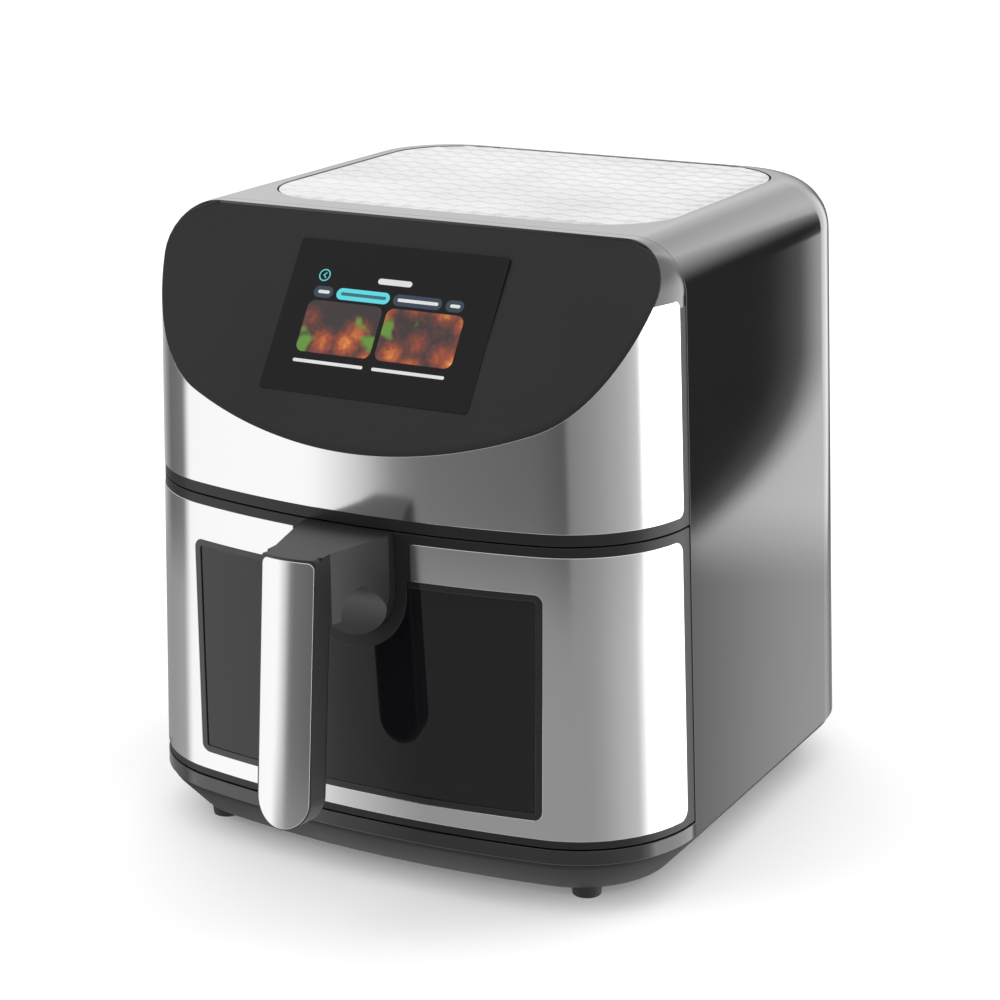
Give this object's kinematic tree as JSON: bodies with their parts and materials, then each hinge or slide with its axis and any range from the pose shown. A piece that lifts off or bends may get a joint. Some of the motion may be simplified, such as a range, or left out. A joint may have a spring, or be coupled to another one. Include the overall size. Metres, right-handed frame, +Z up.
{
  "type": "air fryer",
  "caption": "Counter-top air fryer with a tilted display panel, steel front bands, a pull-out windowed drawer with an upright handle, and a fan over the cavity.",
  "frame": {"origin": "on the floor, under the middle of the bounding box", "axes": "+Z up; the drawer opens towards -Y; +X is the object's left-hand side seen from behind, the right-hand side seen from the front"},
  "size_m": [0.303, 0.3742, 0.325],
  "materials": {
    "gloss_black": "high gloss moulded plastic",
    "inlay_silver": "satin silver with a woven relief",
    "band_steel": "fine brushed, bright",
    "panel_black": "fine matte",
    "display_glass": "black cover glass over a lit display",
    "electronics": "moulded",
    "board_green": "lacquered circuit board",
    "matte_black": "matte moulded plastic",
    "satin_black": "satin moulded plastic",
    "handle_black": "satin moulded plastic",
    "window_black": "gloss black border",
    "window_glass": "dark tinted glass",
    "clear_glass": "clear tempered glass",
    "liner_steel": "aluminised sheet",
    "wire_steel": "plated wire",
    "heater_steel": "oxidised tube",
    "motor_steel": "laminated steel and varnish",
    "fan_aluminium": "pressed sheet",
    "screw_steel": "zinc plated",
    "rubber_black": "matte",
    "silicone": "soft silicone",
    "pan_coating": "dark non-stick coating"
  },
  "bodies": {
    "housing": {"outer_housing": "gloss_black", "top_inlay": "inlay_silver", "front_frame": "gloss_black", "upper_steel_band": "band_steel", "control_panel": "panel_black", "display_glass": "display_glass", "lcd_module": "electronics", "control_board": "board_green", "drawer_sill": "matte_black", "front_bulkhead": "matte_black", "base_tray": "matte_black", "foot_screws": "screw_steel", "base_screws": "screw_steel", "cavity_liner": "liner_steel", "guide_rail_right": "liner_steel", "guide_rail_left": "liner_steel", "fan_dome": "liner_steel", "element_guard": "wire_steel", "heating_element": "heater_steel", "heater_clips": "liner_steel", "temperature_probe": "wire_steel", "thermal_cutoff": "electronics", "heat_shield": "liner_steel", "motor_bracket": "liner_steel", "fan_motor": "motor_steel", "power_board": "board_green", "exhaust_duct": "matte_black", "rear_vent_grille": "matte_black", "cable_gland": "rubber_black", "door_switch": "electronics", "foot_front_left": "rubber_black", "foot_front_right": "rubber_black", "foot_rear_left": "rubber_black", "foot_rear_right": "rubber_black"},
    "fan_rotor": {"motor_shaft": "wire_steel", "hot_air_impeller": "fan_aluminium", "impeller_nut": "screw_steel", "cooling_fan": "fan_aluminium"},
    "drawer": {"drawer_front": "satin_black", "lower_steel_band": "band_steel", "window_frame": "window_black", "window_glass": "window_glass", "drawer_rear_frame": "matte_black", "drawer_screws": "screw_steel", "pan_surround": "matte_black", "pan": "pan_coating", "inner_window_gasket": "rubber_black", "inner_window_glass": "clear_glass", "switch_tab": "matte_black", "handle_body": "handle_black", "handle_grip_cover": "handle_black", "handle_face": "band_steel", "handle_screws": "screw_steel"},
    "crisper": {"crisper_plate": "pan_coating", "crisper_grip": "wire_steel", "crisper_bumpers": "silicone"}
  },
  "joints": [
    {"name": "fan_spin", "type": "hinge", "parent": "housing", "child": "fan_rotor", "pos_m": [0, 0.046, 0.25], "axis": [0, 0, 1], "continuous": true},
    {"name": "drawer_slide", "type": "slide", "parent": "housing", "child": "drawer", "axis": [0, -1, 0], "range_m": [0, 0.25]},
    {"name": "crisper_lift", "type": "slide", "parent": "drawer", "child": "crisper", "axis": [0, 0, 1], "range_m": [0, 0.106]}
  ]
}
